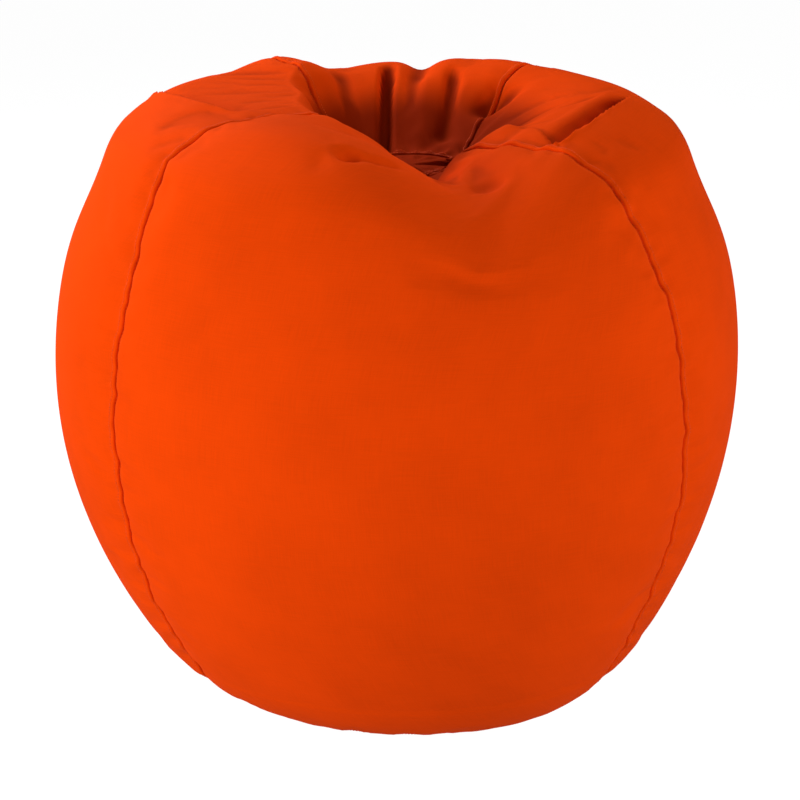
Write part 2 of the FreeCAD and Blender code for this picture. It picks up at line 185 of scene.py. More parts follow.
def crater(x, y):
    """How deep the hollow is at a place, from 0 outside its edge to 1 on its floor."""
    dx, dy = x - CRATER[0], y - CRATER[1]
    distance = np.hypot(dx, dy)
    turn = np.degrees(np.arctan2(dx, -dy))
    edge = around(turn, EDGE)
    t = np.clip((distance - RING_RADIUS) / (edge - RING_RADIUS), 0, 1)
    near_lobe = turn_bump(turn, STEEP_TURN, STEEP_WIDTH)
    t = np.clip((t - 0.5 * near_lobe) / (1 - 0.5 * near_lobe), 0, 1)
    sharp = 0.1 + 0.15 * near_lobe
    return 1 - (1 - sharp) * step(t ** 0.85, 0, 1) - sharp * t


RIM_WAVES = (
    # turn, width, height: the rim's own ups and downs
    (-143, 10, 14), (-118, 22, 2), (-163, 9, -6), (173.5, 4, -9),
    (164, 5, 3), (146, 16, 8), (120, 22, 2), (-30, 16, 9),
)
LIP_SAGS = ((15, 18, 49), (42, 28, 16))  # turn, width, drop: where the front lip hangs down
RIM_INNER = (120, 205)  # radii between which the rim's waves begin
RIM_OUTER = 262  # and where they start to end


def rim_height(turn):
    """How far the rim rises above its mean height, and how far the front lip sags."""
    height = sum(rise * turn_bump(turn, centre, width) for centre, width, rise in RIM_WAVES)
    sag = sum(drop * turn_bump(turn, centre, width) for centre, width, drop in LIP_SAGS)
    return height, sag


# Folds in plan. Each crease lies with the cloth that tucks down on its left, as its path runs.
CREASES = (
    # path, bulge, its width, drop, its width
    ([(-290, 40), (-264, 14), (-240, -33), (-207, -88), (-163, -126)], 7, 24, 25, 22),
    ([(135, -168), (167, -171), (191, -140), (235, -58), (262, 10), (285, 30)], 7, 24, 18, 26),
)
CREASE_WALL = 5
RIDGES = (
    # path, width, height
    ([(134, -160), (161, -122), (200, -55), (228, 0), (240, 50)], 13, 5),
    ([(40, -75), (87, -85), (112, -80), (135, -88)], 22, 12),
)
PLEATS = (
    # path, width, depth: four down the back wall, and one on the front lip
    ([(-10, 232), (-14, 170), (-16, 100), (-8, 70)], 6.5, 24),
    ([(68, 205), (64, 165), (56, 120), (50, 80)], 9, 10),
    ([(-75, 205), (-60, 150), (-38, 95)], 12, 7),
    ([(30, 200), (28, 140), (26, 85)], 13, -6),
    ([(-52, -262), (-20, -259), (8, -242)], 5, 5),
)
POCKETS = (
    # middle, size, depth
    ((112, 128), (24, 16), 22),
    ((-50, 78), (20, 18), 34),
    ((-50, -262), (11, 8), 12),
    ((92, -220), (24, 12), 7),
    ((-30, -160), (55, 40), 16),
)


def crease(x, y, path, bulge, bulge_width, drop, drop_width):
    """A lobe that stops at a path, with the cloth behind it tucked down and rising again."""
    distance, along = path_distance(x, y, path)
    fade = step(along, 0, 0.2) * (1 - step(along, 0.75, 1))
    front = bulge * np.exp(-(np.minimum(distance, 0) / bulge_width) ** 2)
    behind = step(distance, 0, CREASE_WALL)
    recovery = np.exp(-np.maximum(distance, 0) / drop_width)
    tuck = (bulge + drop) * behind * recovery
    rest = bulge * behind * (1 - recovery)
    return fade * (front - tuck - rest)


def ridge(x, y, path, width, height):
    distance, along = path_distance(x, y, path)
    fade = step(along, 0, 0.25) * (1 - step(along, 0.75, 1))
    return height * fade * np.exp(-(distance / width) ** 2)


def top_height(x, y):
    """Height of the top at a plan position inside the brow."""
    radius = np.hypot(x, y)
    turn = np.degrees(np.arctan2(x, -y))
    out = np.clip(radius - SHOULDER_X, 0, SHOULDER_ARC)
    z = SHOULDER_Z + np.sqrt(SHOULDER_ARC ** 2 - out ** 2)
    bowl = crater(x, y)
    rise, _ = rim_height(turn)
    z = z + rise * step(radius, *RIM_INNER) * (1 - step(radius, RIM_OUTER, BROW_RADIUS))
    z = z - bowl * (HEIGHT - FLOOR_HEIGHT)
    for path, *sizes in CREASES:
        z = z + crease(x, y, path, *sizes)
    for path, width, height in RIDGES:
        z = z + ridge(x, y, path, width, height)
    for path, width, depth in PLEATS:
        z = z - ridge(x, y, path, width, depth)
    for (px, py), (across, along), depth in POCKETS:
        z = z - depth * bump(x, px, across) * bump(y, py, along)
    return z


# ---- the skin's grid

# Each seam: its turn at the side's base, quarter, half, three quarters and brow; its turn at the cap's ring;
# how far it bows right and back between the brow and the ring; the gore and edge its felled band lies on.
SEAM_TABLE = (
    ("front_left_seam", (-53.5, -52.5, -51.5, -50, -50), -40, (0, -25), ("left_gore", "right")),
    ("front_right_seam", (59, 55.5, 54, 50, 45), 15, (5, -35), ("right_gore", "left")),
    ("back_right_seam", (137, 137, 137, 138, 139), 75, (-26, 0), ("back_gore", "left")),
    ("back_left_seam", (-137, -137, -138, -141, -144), -120, (0, -20), ("back_gore", "right")),
)
SEAMS = {name: turns for name, turns, _, _, _ in SEAM_TABLE}
RING_TURNS = {name: turn for name, _, turn, _, _ in SEAM_TABLE}
BOWS = {name: bow for name, _, _, bow, _ in SEAM_TABLE}
BAND_SIDES = {name: side for name, _, _, _, side in SEAM_TABLE}
GORES = {
    # gore: its left seam and its right seam
    "front_gore": ("front_left_seam", "front_right_seam"),
    "right_gore": ("front_right_seam", "back_right_seam"),
    "back_gore": ("back_right_seam", "back_left_seam"),
    "left_gore": ("back_left_seam", "front_left_seam"),
}
# how full the heel is, outwards, every 45 degrees from the front to the right
HEEL_SWELL = (6.5, 12.5, 6, 1, 0, 0, 1.5, 2.5)
HEEL_MIDDLE, HEEL_REACH = 40, 125  # along the side, up from the base seam
LEFT_SWELL, LEFT_MIDDLE, LEFT_REACH = 5, 330, 170
FLANK_DROP, FLANK_TURN, FLANK_WIDTH, FLANK_REACH = 8, 90, 38, 60
SAG_START, SAG_END = SIDE_LENGTH - 190, SIDE_LENGTH + 30  # where the front lip's sag sets in
ROWS_SIDE, ROWS_TOP = 250, 100
EDGE_COLUMNS = np.array([0, 0.0018, 0.0038, 0.006, 0.009, 0.0125, 0.017, 0.023, 0.032])
MIDDLE_COLUMNS = 66
SIM_COLUMNS, SIM_SIDE, SIM_TOP = 56, 84, 40


def seam_turn(seam, up):
    """Turn of a seam at a fraction of the way up the side, with a slight wander."""
    order = list(SEAMS).index(seam)
    wave = 0.30 * np.sin(17 * up + order) + 0.18 * np.sin(41 * up + 2 * order)
    return np.interp(up, np.linspace(0, 1, 5), SEAMS[seam]) + wave * step(up, 0, 0.06)


def side_surface(turn, length):
    """Points of the side at turns and lengths up from the base seam."""
    r, z = side_point(length)
    lean = np.where(length < ARC_LENGTHS[0], (HEEL_ARC - z) / HEEL_ARC, 0)
    swell = around(turn, HEEL_SWELL) * bump(length, HEEL_MIDDLE, HEEL_REACH)
    swell = swell + LEFT_SWELL * turn_bump(turn, -95, 45) * bump(length, LEFT_MIDDLE, LEFT_REACH)
    near_side = turn_bump(turn, FLANK_TURN, FLANK_WIDTH) + turn_bump(turn, -FLANK_TURN, FLANK_WIDTH)
    flank = FLANK_DROP * near_side * bump(length, SIDE_LENGTH - 62, FLANK_REACH)
    r = r + swell * np.sqrt(1 - lean ** 2) - flank
    _, sag = rim_height(turn)
    z = z - swell * lean - sag * step(length, SAG_START, SAG_END)
    x, y = at_turn(r, turn)
    return np.stack([x, y, z], axis=-1)


def sculpt(columns, rows_side, rows_top):
    """Points of meridians from the base seam to the cap. columns is what gore_columns gives."""
    turn, ring_turn, bow = columns
    length = np.linspace(0, SIDE_LENGTH, rows_side)[:, None] * np.ones_like(turn)
    side = side_surface(turn, length)
    t = np.linspace(0, 1, rows_top + 1)[:, None]
    sx, sy = side[-1, :, 0], side[-1, :, 1]
    ex, ey = at_turn(RING_RADIUS, ring_turn)
    arch = 4 * t * (1 - t)
    px = sx * (1 - t) + (ex + CRATER[0]) * t + bow[0] * arch
    py = sy * (1 - t) + (ey + CRATER[1]) * t + bow[1] * arch
    pz = top_height(px, py)
    _, sag = rim_height(np.degrees(np.arctan2(px, -py)))
    lift = 1 - crater(px, py) ** 2
    side_sag = step(SIDE_LENGTH, SAG_START, SAG_END)
    pz = pz - sag * (side_sag + (1 - side_sag) * step(t, 0, 0.35)) * lift
    pz = pz + (side[-1, :, 2] - pz[0]) * (1 - step(t, 0, 0.2))
    return np.concatenate([side, np.stack([px, py, pz], axis=-1)[1:]])


def gore_columns(gore, across, rows_side):
    """Turns of a gore's columns at each row of the side and at the ring, and their bow between the two."""
    left, right = GORES[gore]
    up = np.linspace(0, 1, rows_side)[:, None]
    start, end = seam_turn(left, up), seam_turn(right, up)
    end = np.where(end < start, end + 360, end)
    ring_start, ring_end = RING_TURNS[left], RING_TURNS[right]
    if ring_end < ring_start:
        ring_end += 360
    turn = start + (end - start) * across[None, :]
    ring_turn = ring_start + (ring_end - ring_start) * across
    bow = [a + (b - a) * across for a, b in zip(BOWS[left], BOWS[right])]
    return turn, ring_turn, bow


def lengths(points, axis):
    """Length along a grid's rows or columns, from 0."""
    steps = np.linalg.norm(np.diff(points, axis=axis), axis=-1)
    start = np.zeros_like(np.take(steps, [0], axis=axis))
    return np.concatenate([start, np.cumsum(steps, axis=axis)], axis=axis)


def grid_normals(points, wrap=False):
    """Unit normals of a grid, towards the viewer when its rows rise and its columns run to the right."""
    if wrap:
        padded = np.concatenate([points[:, -1:], points, points[:, :1]], axis=1)
        return grid_normals(padded)[:, 1:-1]
    normal = np.cross(np.gradient(points, axis=1), np.gradient(points, axis=0))
    return normal / np.maximum(np.linalg.norm(normal, axis=-1, keepdims=True), 1e-9)


def wander(distance, seed, waves=((26, 0.5), (39, 0.8), (67, 1.0))):
    """An irregular wave along a seam, between about -1 and 1."""
    random = np.random.default_rng(seed)
    total = np.zeros_like(distance)
    for wavelength, weight in waves:
        phase = random.uniform(0, math.tau)
        bend = 1.5 * np.sin(distance / (2.3 * wavelength) + phase)
        total = total + weight * np.sin(math.tau * distance / wavelength + phase + bend)
    return total / sum(weight for _, weight in waves)


# ---- meshes

HOLLOW_SHADE = (0.12, 0.6)  # how deep in the hollow the painted shade begins, and where it is full
FOLD_REACH = 4  # rows and columns
FOLD_DEPTH = 4.0
LIP_END = (-240, -170)  # the front lip's folds get no painted shade


def add_object(name, data):
    made = bpy.data.objects.new(name, data)
    SCENE.collection.objects.link(made)
    return made


def new_object(name, vertices, faces, material, flat_from=None, cloth=None, **values):
    """A mesh object from points in millimetres. cloth is each point's place on the flat cloth.

    Faces from number flat_from on are flat shaded. values are attributes that the materials read.
    """
    mesh = bpy.data.meshes.new(name)
    mesh.from_pydata((np.asarray(vertices) * MM).tolist(), [], [list(face) for face in faces])
    smooth = np.ones(len(mesh.polygons), bool)
    if flat_from is not None:
        smooth[flat_from:] = False
    mesh.polygons.foreach_set("use_smooth", smooth)
    if cloth is not None:
        layer = mesh.attributes.new("cloth", "FLOAT_VECTOR", "POINT")
        layer.data.foreach_set("vector", np.asarray(cloth, np.float32).ravel())
    for attribute, value in values.items():
        layer = mesh.attributes.new(attribute, "FLOAT", "POINT")
        layer.data.foreach_set("value", np.asarray(value, np.float32).ravel())
    mesh.materials.append(material)
    mesh.update()
    return add_object(name, mesh)


def grid_faces(rows, columns, wrap=False, first=0):
    index = first + np.arange(rows * columns).reshape(rows, columns)
    left = index if wrap else index[:, :-1]
    right = np.roll(index, -1, axis=1) if wrap else index[:, 1:]
    return np.stack([left[:-1], right[:-1], right[1:], left[1:]], axis=-1).reshape(-1, 4)


def tube_faces(rows, columns):
    """Faces of a closed tube: its wall, and a face across each end."""
    last = (rows - 1) * columns
    ends = [list(range(columns))[::-1], list(range(last, last + columns))]
    return grid_faces(rows, columns, True).tolist() + ends


def nearby(height, reach):
    """For each point of a grid, the heights within a few rows and columns of it."""
    padded = np.pad(height, reach, mode="edge")
    return np.lib.stride_tricks.sliding_window_view(padded, (2 * reach + 1, 2 * reach + 1))


def in_hollow(points):
    """How far down in the seat hollow each point is, from 0 outside it to 1. The twill is painted darker
    there, as shade.
    """
    high = step(points[..., 2], CAP_HEIGHT - 90, CAP_HEIGHT - 60)
    return step(crater(points[..., 0], points[..., 1]), *HOLLOW_SHADE) * high


def in_fold(points):
    """How far each point lies below the cloth around it, from 0 to 1: on the top, behind the front lip. The
    twill is painted darker there, as shade.
    """
    mean = nearby(points[..., 2], FOLD_REACH).mean(axis=(2, 3))
    below = np.clip((mean - points[..., 2]) / FOLD_DEPTH, 0, 1)
    on_top = step(points[..., 2], CAP_HEIGHT - 30, CAP_HEIGHT - 5)
    return below * on_top * step(points[..., 1], *LIP_END)


def shell(name, outer, inner, material, wrap=False, wear=None, deep=None):
    """A closed sheet of cloth between two grids of the same size."""
    rows, columns = outer.shape[:2]
    count = rows * columns
    front = grid_faces(rows, columns, wrap)
    back = grid_faces(rows, columns, wrap, count)[:, ::-1]
    index = np.arange(count).reshape(rows, columns)
    across = np.concatenate([index, index[:, :1]], axis=1) if wrap else index
    loops = [(across[0, 1:], across[0, :-1]), (across[-1, :-1], across[-1, 1:])]
    if not wrap:
        loops.append((index[:-1, 0], index[1:, 0]))
        loops.append((index[1:, -1], index[:-1, -1]))
    walls = [np.stack([a, b, b + count, a + count], axis=-1) for a, b in loops]
    cloth = np.stack([lengths(outer, 1), lengths(outer, 0), np.zeros(outer.shape[:2])], axis=-1)
    wear = np.zeros(outer.shape[:2]) if wear is None else wear
    # painted shade: unless given, a sheet's colour darkens down in the seat hollow
    deep = in_hollow(outer) if deep is None else deep
    faces = np.concatenate([front, back] + walls)
    return new_object(
        name,
        np.concatenate([outer.reshape(-1, 3), inner.reshape(-1, 3)]),
        faces.tolist(),
        material,
        flat_from=len(front) + len(back),
        cloth=np.tile(cloth.reshape(-1, 3), (2, 1)),
        wear=np.tile(wear.ravel(), 2),
        deep=np.tile(deep.ravel(), 2),
    )


def declare(piece, slot, *nodes):
    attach(piece, "bag")
    if nodes:
        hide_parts(*nodes)
    return piece


def sew(name, node, outer, inner, material, **details):
    """A sheet of cloth that stands for a CAD node."""
    return declare(shell(name, outer, inner, material, **details), SLOTS[material], node)


# ---- materials


class Finish:
    """A material whose nodes are added one by one. Sockets in **fixed are set on the shader itself."""

    def __init__(self, name, **fixed):
        self.material = bpy.data.materials.new(name)
        self.material.use_nodes = True
        self.nodes = self.material.node_tree.nodes
        self.shader = self.nodes["Principled BSDF"]
        for socket, value in fixed.items():
            self.shader.inputs[socket.replace("_", " ")].default_value = value

    def add(self, kind, settings=None, **inputs):
        node = self.nodes.new("ShaderNode" + kind)
        for key, value in (settings or {}).items():
            setattr(node, key, value)
        for socket, value in inputs.items():
            self.link(value, node.inputs[socket.replace("_", " ")])
        return node

    def link(self, value, socket):
        if isinstance(value, bpy.types.NodeSocket):
            self.material.node_tree.links.new(value, socket)
        else:
            socket.default_value = value

    def set(self, socket, value):
        """Feeds one of the shader's sockets."""
        self.link(value, self.shader.inputs[socket])

    def surface(self, value, dark, light, rough):
        """Colour and roughness that vary with a value."""
        self.set("Base Color", self.ramp(value, (0.3, dark), (0.7, light)))
        self.set("Roughness", self.spread(value, *rough))

    def attribute(self, name, output):
        return self.add("Attribute", {"attribute_name": name}).outputs[output]

    def place(self):
        """The point's place on the object, in metres."""
        return self.add("TexCoord").outputs["Object"]

    def math(self, operation, a, b):
        node = self.add("Math", {"operation": operation})
        self.link(a, node.inputs[0])
        self.link(b, node.inputs[1])
        return node.outputs["Value"]

    def mix(self, factor, first, second):
        return self.add("MixRGB", Fac=factor, Color1=first, Color2=second).outputs["Color"]

    def spread(self, value, low, high):
        return self.add("MapRange", Value=value, To_Min=low, To_Max=high).outputs["Result"]

    def noise(self, place, scale, detail=3.0):
        return self.add("TexNoise", Vector=place, Scale=scale, Detail=detail).outputs["Fac"]

    def stretch(self, place, scale, turn=0.0):
        turned = (0, 0, math.radians(turn))
        return self.add("Mapping", Vector=place, Scale=scale, Rotation=turned).outputs["Vector"]

    def ramp(self, factor, *stops):
        node = self.add("ValToRGB", Fac=factor)
        elements = node.color_ramp.elements
        while len(elements) < len(stops):
            elements.new(0.5)
        for element, (position, color) in zip(elements, stops):
            element.position = position
            element.color = (*color, 1)
        return node.outputs["Color"]

    def bump(self, height, distance, strength=1.0, normal=None):
        node = self.add("Bump", Height=height, Distance=distance, Strength=strength)
        if normal is not None:
            self.link(normal, node.inputs["Normal"])
        return node.outputs["Normal"]


def scaled(color, factor):
    return tuple(channel * factor for channel in color)


def wave_scale(pitch):
    """A Wave texture's scale for a pitch in the units of its coordinates."""
    return math.tau / (20 * pitch)


ORANGE = (0.80, 0.0545, 0.0005)
RUBBED = (0.88, 0.13, 0.02, 1)
# the dark red that is painted as shade in the seat hollow and folds
PAINTED_SHADE_COLOR = (0.17, 0.008, 0.0004, 1)
RUBBED_SHARE = 0.25
# how much of that painted shade is mixed in
PAINTED_SHADE_SHARE = 0.8
RIB_PITCH, RIB_TURN = 0.9, 63


def twill_finish():
    """Matte cotton twill: ribs, slubs along both yarns, uneven dye, rubbed at seams, and painted shade in the
    seat hollow and in folds.
    """
    twill = Finish("orange_twill", Specular_IOR_Level=0.02, Sheen_Weight=0.02, Sheen_Roughness=0.5)
    twill.shader.inputs["Sheen Tint"].default_value = (1, 0.3, 0.05, 1)
    place = twill.attribute("cloth", "Vector")
    dye = twill.noise(place, 0.012, 2.0)
    warp = twill.noise(twill.stretch(place, (0.9, 0.03, 1)), 1.0)
    weft = twill.noise(twill.stretch(place, (0.03, 0.9, 1)), 1.0)
    threads = twill.math("ADD", twill.math("MULTIPLY", warp, 0.5), twill.math("MULTIPLY", weft, 0.5))
    mixed = twill.math("ADD", twill.math("MULTIPLY", dye, 0.45), twill.math("MULTIPLY", threads, 0.55))
    color = twill.ramp(mixed, (0.3, scaled(ORANGE, 0.9)), (0.5, ORANGE), (0.7, scaled(ORANGE, 1.08)))
    patchy = twill.math("MULTIPLY", twill.noise(place, 0.35), RUBBED_SHARE)
    rubbed = twill.math("MULTIPLY", twill.attribute("wear", "Fac"), patchy)
    paler = twill.mix(rubbed, color, RUBBED)
    # painted shade: down in the seat hollow and in folds the colour is mixed towards a dark red standing for
    # shadow
    deep = twill.math("MULTIPLY", twill.attribute("deep", "Fac"), PAINTED_SHADE_SHARE)
    twill.set("Base Color", twill.mix(deep, paler, PAINTED_SHADE_COLOR))
    twill.set("Roughness", twill.spread(threads, 0.78, 0.95))
    turned = twill.stretch(place, (1, 1, 1), RIB_TURN)
    ribs = twill.add("TexWave", Vector=turned, Scale=wave_scale(RIB_PITCH), Distortion=0.6)
    ribbed = twill.bump(ribs.outputs["Fac"], 0.0002, 0.35)
    twill.set("Normal", twill.bump(threads, 0.0006, 0.35, ribbed))
    return twill.material


def thread_finish():
    """Spun polyester thread with its twist."""
    thread = Finish("thread", Specular_IOR_Level=0.25)
    place = thread.place()
    dye = thread.noise(place, 220.0)
    thread.surface(dye, (0.66, 0.05, 0.002), (0.9, 0.085, 0.004), (0.5, 0.7))
    twist = thread.add("TexWave", Vector=thread.stretch(place, (1, 1, 1), 40), Scale=wave_scale(0.0006))
    thread.set("Normal", thread.bump(twist.outputs["Fac"], 0.0001, 0.5))
    return thread.material


def cotton_finish(name, dark, light, pitch):
    """Plain weave: a square grid of yarns."""
    cotton = Finish(name, Specular_IOR_Level=0.1, Sheen_Weight=0.1)
    place = cotton.attribute("cloth", "Vector")
    dye = cotton.noise(place, 0.05)
    cotton.surface(dye, dark, light, (0.8, 0.95))
    yarns = [
        cotton.add("TexWave", {"bands_direction": axis}, Vector=place, Scale=wave_scale(pitch)).outputs["Fac"]
        for axis in "XY"
    ]
    cotton.set("Normal", cotton.bump(cotton.math("MULTIPLY", *yarns), 0.0002, 0.5))
    return cotton.material


def bead_finish():
    """Expanded polystyrene beads, pressed together."""
    beads = Finish("beads", Roughness=0.6, Subsurface_Weight=0.1)
    cells = beads.add("TexVoronoi", Vector=beads.place(), Scale=260.0).outputs["Distance"]
    # painted shade: the colour darkens from each bead's middle towards its edge, where the gaps between the
    # beads lie
    beads.set("Base Color", beads.ramp(cells, (0.1, (0.93, 0.93, 0.92)), (0.8, (0.7, 0.7, 0.69))))
    height = beads.math("SUBTRACT", 1.0, cells)
    beads.set("Normal", beads.bump(height, 0.0015, 0.8))
    return beads.material


def nylon_finish():
    """Moulded nylon with a fine grain, dyed to match the cloth."""
    nylon = Finish("zip_nylon", Specular_IOR_Level=0.4)
    grain = nylon.noise(nylon.place(), 900.0)
    nylon.surface(grain, (0.62, 0.045, 0.003), (0.78, 0.06, 0.004), (0.3, 0.5))
    nylon.set("Normal", nylon.bump(grain, 0.00005, 0.5))
    return nylon.material


DULL_ZINC, BRIGHT_ZINC = (0.44, 0.44, 0.45), (0.62, 0.62, 0.63)


def metal_finish():
    """Satin zinc alloy with fine scratches and handled patches."""
    metal = Finish("zip_metal", Metallic=1.0)
    place = metal.place()
    scratches = metal.noise(metal.stretch(place, (200, 3000, 3000)), 1.0)
    patches = metal.noise(place, 120.0)
    metal.set("Base Color", metal.ramp(patches, (0.3, DULL_ZINC), (0.7, BRIGHT_ZINC)))
    metal.set("Roughness", metal.spread(scratches, 0.25, 0.45))
    metal.set("Normal", metal.bump(scratches, 0.00003, 0.4))
    return metal.material


TWILL = twill_finish()
THREAD = thread_finish()
COTTON = cotton_finish("liner_cotton", (0.74, 0.72, 0.66), (0.82, 0.80, 0.74), 0.7)
TAPE = cotton_finish("zip_tape", (0.60, 0.040, 0.002), (0.76, 0.055, 0.003), 0.9)
SATIN = cotton_finish("label_satin", (0.88, 0.87, 0.84), (0.95, 0.94, 0.91), 0.4)
BEADS = bead_finish()
NYLON = nylon_finish()
METAL = metal_finish()
SLOTS = {TWILL: "orange_twill", COTTON: "liner_cotton", SATIN: "label_satin"}

# ---- the cover's cloth, relaxed by simulation

SIM_PRESSURE = 1.2
SIM_LIMIT = 3.0  # how far a point may move
SIM_FRAMES = 20
HOLD_OPEN, HOLD_SEAM, HOLD_END = 0.12, 0.8, 1.0  # how firmly the sculpted place is kept


def sim_grid():
    """The whole skin as one closed ring of coarse columns."""
    across = np.linspace(0, 1, SIM_COLUMNS + 1)[:-1]
    parts = [sculpt(gore_columns(gore, across, SIM_SIDE), SIM_SIDE, SIM_TOP) for gore in GORES]
    return np.concatenate(parts, axis=1)


def simulate(points):
    """Runs the cloth on a closed mesh of the grid and returns where its points end."""
    rows, columns = points.shape[:2]
    count = rows * columns
    ends = [points[0].mean(axis=0), points[-1].mean(axis=0)]
    faces = grid_faces(rows, columns, True).tolist()
    faces += [[(k + 1) % columns, k, count] for k in range(columns)]
    last = count - columns
    faces += [[last + k, last + (k + 1) % columns, count + 1] for k in range(columns)]
    body = new_object("sim", np.concatenate([points.reshape(-1, 3), ends]), faces, TWILL)
    hold = body.vertex_groups.new(name="hold")
    at_ends = list(range(columns)) + list(range(last, count + 2))
    hold.add(list(range(count)), HOLD_OPEN, "REPLACE")
    seams = [row * columns + k * SIM_COLUMNS for row in range(rows) for k in range(len(GORES))]
    hold.add(seams, HOLD_SEAM, "REPLACE")
    hold.add(at_ends, HOLD_END, "REPLACE")
    cloth = body.modifiers.new("cloth", "CLOTH")
    cloth.settings.vertex_group_mass = "hold"
    cloth.settings.use_pressure = True
    cloth.settings.uniform_pressure_force = SIM_PRESSURE
    cloth.settings.shrink_min = -0.01
    cloth.settings.effector_weights.gravity = 0
    cloth.point_cache.frame_end = SIM_FRAMES
    for frame_number in range(1, SIM_FRAMES + 1):
        SCENE.frame_set(frame_number)
    relaxed = body.evaluated_get(bpy.context.evaluated_depsgraph_get()).to_mesh()
    moved = np.zeros(len(relaxed.vertices) * 3)
    relaxed.vertices.foreach_get("co", moved)
    bpy.data.objects.remove(body)
    SCENE.frame_set(1)
    return moved.reshape(-1, 3)[:count].reshape(points.shape) / MM


def relaxed_by():
    """How far the cloth moves each point of the coarse grid, less its mean swelling.
    """
    points = sim_grid()
    shift = simulate(points) - points
    outward = grid_normals(points, True)
    shift = shift - outward * (shift * outward).sum(axis=-1).mean()
    size = np.linalg.norm(shift, axis=-1, keepdims=True)
    return shift * np.minimum(1, SIM_LIMIT / np.maximum(size, TINY))


RELAXED = relaxed_by()


def relaxed(gore, across):
    """The simulation's shift at a gore's fine grid."""
    first = list(GORES).index(gore) * SIM_COLUMNS
    columns = first + across * SIM_COLUMNS
    low = np.floor(columns).astype(int)
    share = (columns - low)[None, :, None]
    total = len(GORES) * SIM_COLUMNS
    wide = RELAXED[:, low % total] * (1 - share) + RELAXED[:, (low + 1) % total] * share
    side = np.linspace(0, SIM_SIDE - 1, ROWS_SIDE)
    top = SIM_SIDE - 1 + np.arange(1, ROWS_TOP + 1) * SIM_TOP / ROWS_TOP
    rows = np.concatenate([side, top])
    low = np.minimum(np.floor(rows).astype(int), len(RELAXED) - 2)
    share = (rows - low)[:, None, None]
    return wide[low] * (1 - share) + wide[low + 1] * share


# ---- gores

THICKNESS = 0.9
GROOVE, GROOVE_WIDTH, COVERED_WIDTH = 4.6, 1.9, 0.5  # the cloth turns in at a seam, less under a band
VALLEY, VALLEY_WIDTH = 2.6, 17.0  # the cloth sinks towards a seam
PUCKER, PUCKER_REACH, PUCKER_SLANT = 2.0, 24.0, 0.35
BASE_PUCKER, BASE_REACH, BASE_SEED = 1.6, 22, 11
BASE_WAVES = ((30, 1.0), (37, 1.0), (333, 0.5))
RING_PUCKER, RING_REACH = 1.5, 30
RING_FOLDS = (19, 11)
CALM_END = 8  # no end puckers at the very seam


def base_puckers(points, up):
    turns = np.degrees(np.arctan2(points[..., 0], -points[..., 1]))
    waves = wander(turns * 3.7, BASE_SEED, BASE_WAVES)
    return BASE_PUCKER * waves * np.exp(-up / BASE_REACH) * step(up, 0, CALM_END)


def ring_puckers(points, from_ring):
    turns = np.degrees(np.arctan2(points[..., 0] - CRATER[0], -(points[..., 1] - CRATER[1])))
    many, few = (np.radians(turns) * folds for folds in RING_FOLDS)
    waves = np.sin(many) + 0.6 * np.sin(few + 1)
    return RING_PUCKER * waves * np.exp(-from_ring / RING_REACH) * step(from_ring, 0, CALM_END)


def gore_skin(gore):
    """A gore's outer surface, with its wear."""
    middle = np.linspace(0.045, 0.955, MIDDLE_COLUMNS)
    across = np.concatenate([EDGE_COLUMNS, middle, 1 - EDGE_COLUMNS[::-1]])
    points = sculpt(gore_columns(gore, across, ROWS_SIDE), ROWS_SIDE, ROWS_TOP) + relaxed(gore, across)
    normals = grid_normals(points)
    from_left, up = lengths(points, 1), lengths(points, 0)
    from_right = from_left[:, -1:] - from_left
    shift = np.zeros(points.shape[:2])
    wear = np.zeros(points.shape[:2])
    for seam, distance, column in zip(GORES[gore], (from_left, from_right), (0, -1)):
        along = up[:, column:][:, :1] + PUCKER_SLANT * distance
        seed = list(SEAMS).index(seam)
        shift += PUCKER * wander(along, seed) * np.exp(-distance / PUCKER_REACH)
        covered = BAND_SIDES[seam][0] == gore
        shift -= VALLEY * bump(distance, 0, VALLEY_WIDTH)
        shift -= GROOVE * bump(distance, 0, COVERED_WIDTH if covered else GROOVE_WIDTH)
        wear += bump(distance, 3, 4)
    shift += base_puckers(points, up)
    shift += ring_puckers(points, up[-1:] - up)
    return points + normals * shift[..., None], wear


def build_gore(gore):
    points, wear = SKINS[gore]
    # painted shade: the cloth's colour darkens down in the hollow and in the folds on the top
    deep = np.clip(in_hollow(points) + in_fold(points), 0, 1)
    inner = points - THICKNESS * grid_normals(points)
    piece = sew(f"cover_{gore}", gore, points, inner, TWILL, wear=wear, deep=deep)


SKINS = {gore: gore_skin(gore) for gore in GORES}
for gore in GORES:
    build_gore(gore)

# ---- felled bands and their stitches

STITCH_PITCH = 3.4
BAND_WIDTH = 10.0
BAND_HEIGHT = 1.1
BAND_SOLE = 0.06  # gap under a band
STITCH_LINES = (2.5, 8.3)
STITCH_LENGTH, STITCH_RADIUS, STITCH_SIDES = 2.5, 0.36, 6
STITCH_RISE = 0.15
SEAM_END_GAP = 5.0  # a band stops this short of the cap's ring
# a band's rails, in from the seam's edge
RAILS = np.array([0.9, 1.2, 1.8, 2.5, 3.2, 4.2, 5.4, 6.6, 7.6, 8.3, 9.0, 9.6, 9.9])


def between(value, values, points, **period):
    """Points interpolated between known ones, each at a value."""
    return np.stack([np.interp(value, values, points[:, k], **period) for k in range(3)], axis=-1)


def inward(grid, distance, edge):
    """For each row of a grid, the point at a distance in from its left or right edge."""
    rows = grid if edge == "left" else grid[:, ::-1]
    reach = lengths(rows, 1)
    return np.array([between(distance, along, row) for along, row in zip(reach, rows)])


def even(line, pitch, skip_end):
    """Row numbers at an even pitch along a line."""
    reach = lengths(line[None], 1)[0]
    count = int((reach[-1] - skip_end) // pitch)
    return np.interp(np.arange(count + 1) * pitch, reach, np.arange(len(line)))


def at_rows(line, rows):
    return between(rows, np.arange(len(line)), line)


